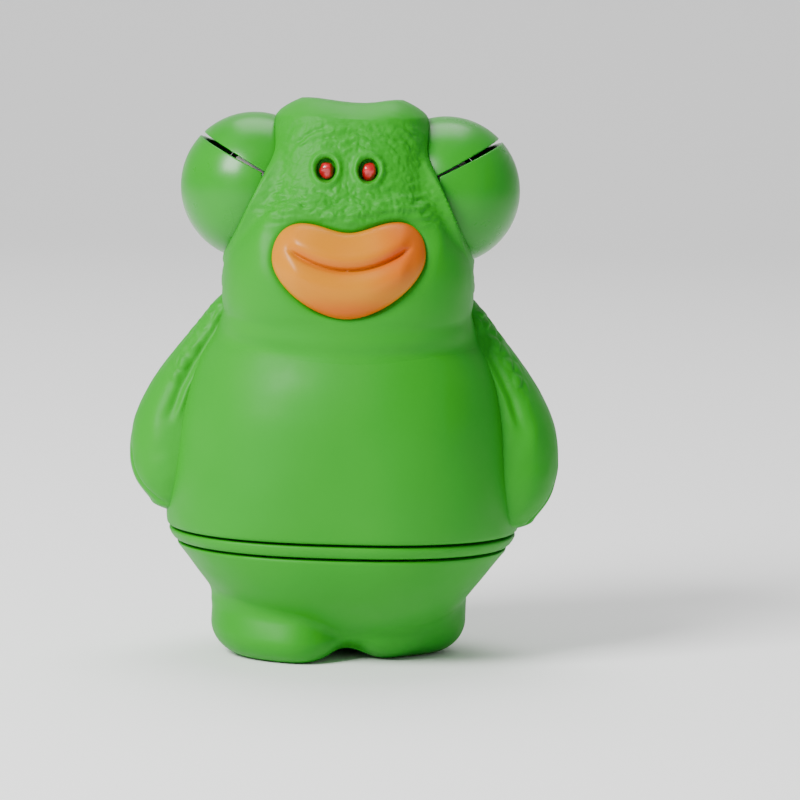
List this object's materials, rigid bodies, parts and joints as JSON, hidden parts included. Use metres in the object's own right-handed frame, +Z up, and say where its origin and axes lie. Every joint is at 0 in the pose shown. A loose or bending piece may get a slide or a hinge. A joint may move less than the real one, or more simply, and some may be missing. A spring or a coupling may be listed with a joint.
{
  "type": "squeeze frog toy",
  "caption": "Squeeze toy frog with hollow moulded body, lidded dome eyes that open as the eyeballs slide out, orange lips and a waist seam.",
  "frame": {"origin": "on the ground, under the middle of the body's box", "axes": "+Z up, the frog faces -Y, X across the frog with its right-hand side in the front view at +X"},
  "size_m": [0.0546, 0.039, 0.07],
  "materials": {
    "skin": "matt soft vinyl",
    "lid": "smooth, satin gloss",
    "lips": "gloss orange",
    "nostril": "gloss red",
    "eye_white": "polished white",
    "pupil": "polished black",
    "inner_plastic": "natural moulded",
    "inner_rubber": "black soft rubber",
    "steel": "drawn wire"
  },
  "bodies": {
    "frog": {"head_skin": "skin", "torso_skin": "skin", "arm_right": "skin", "arm_left": "skin", "waist_band": "skin", "leg_skin": "skin", "base_plug": "skin", "lips": "lips", "nostril_left": "nostril", "nostril_right": "nostril", "lid_pin_front_left": "steel", "lid_pin_rear_left": "steel", "lid_yoke_left": "inner_plastic", "eye_cup_left": "inner_plastic", "eye_bellows_left": "inner_rubber", "lid_pin_front_right": "steel", "lid_pin_rear_right": "steel", "lid_yoke_right": "inner_plastic", "eye_cup_right": "inner_plastic", "eye_bellows_right": "inner_rubber", "air_manifold": "inner_plastic", "air_bulb": "inner_rubber"},
    "belly": {"belly_pad": "inner_rubber"},
    "eye_left": {"eyeball_left": "eye_white", "pupil_left": "pupil"},
    "upper_left": {"upper_lid_left": "lid"},
    "lower_left": {"lower_lid_left": "lid"},
    "eye_right": {"eyeball_right": "eye_white", "pupil_right": "pupil"},
    "upper_right": {"upper_lid_right": "lid"},
    "lower_right": {"lower_lid_right": "lid"}
  },
  "joints": [
    {"name": "belly_squeeze", "type": "slide", "parent": "frog", "child": "belly", "axis": [0, 1, 0], "range_m": [0, 0.005], "stiffness_N_per_m": 1600, "deforming": ["torso_skin", "air_bulb"]},
    {"name": "eye_left_slide", "type": "slide", "parent": "frog", "child": "eye_left", "axis": [-0.6691, 0, 0.7431], "range_m": [0, 0.0061], "deforming": ["eye_bellows_left"]},
    {"name": "upper_lid_left_hinge", "type": "hinge", "parent": "frog", "child": "upper_left", "pos_m": [-0.012, 0, 0.0588], "axis": [0, 1, 0], "range_deg": [0, 54.5]},
    {"name": "lower_lid_left_hinge", "type": "hinge", "parent": "frog", "child": "lower_left", "pos_m": [-0.012, 0, 0.0588], "axis": [0, -1, 0], "range_deg": [0, 35.5]},
    {"name": "eye_right_slide", "type": "slide", "parent": "frog", "child": "eye_right", "axis": [0.6691, 0, 0.7431], "range_m": [0, 0.0061], "deforming": ["eye_bellows_right"]},
    {"name": "upper_lid_right_hinge", "type": "hinge", "parent": "frog", "child": "upper_right", "pos_m": [0.012, 0, 0.0588], "axis": [0, -1, 0], "range_deg": [0, 54.5]},
    {"name": "lower_lid_right_hinge", "type": "hinge", "parent": "frog", "child": "lower_right", "pos_m": [0.012, 0, 0.0588], "axis": [0, 1, 0], "range_deg": [0, 35.5]}
  ],
  "couplings": [
    {"joint": "eye_left_slide", "follows": "belly_squeeze", "ratio": 1.2},
    {"joint": "upper_lid_left_hinge", "follows": "belly_squeeze", "rad_per_m": 188.5},
    {"joint": "lower_lid_left_hinge", "follows": "belly_squeeze", "rad_per_m": 122.17},
    {"joint": "eye_right_slide", "follows": "belly_squeeze", "ratio": 1.2},
    {"joint": "upper_lid_right_hinge", "follows": "belly_squeeze", "rad_per_m": 188.5},
    {"joint": "lower_lid_right_hinge", "follows": "belly_squeeze", "rad_per_m": 122.17}
  ]
}
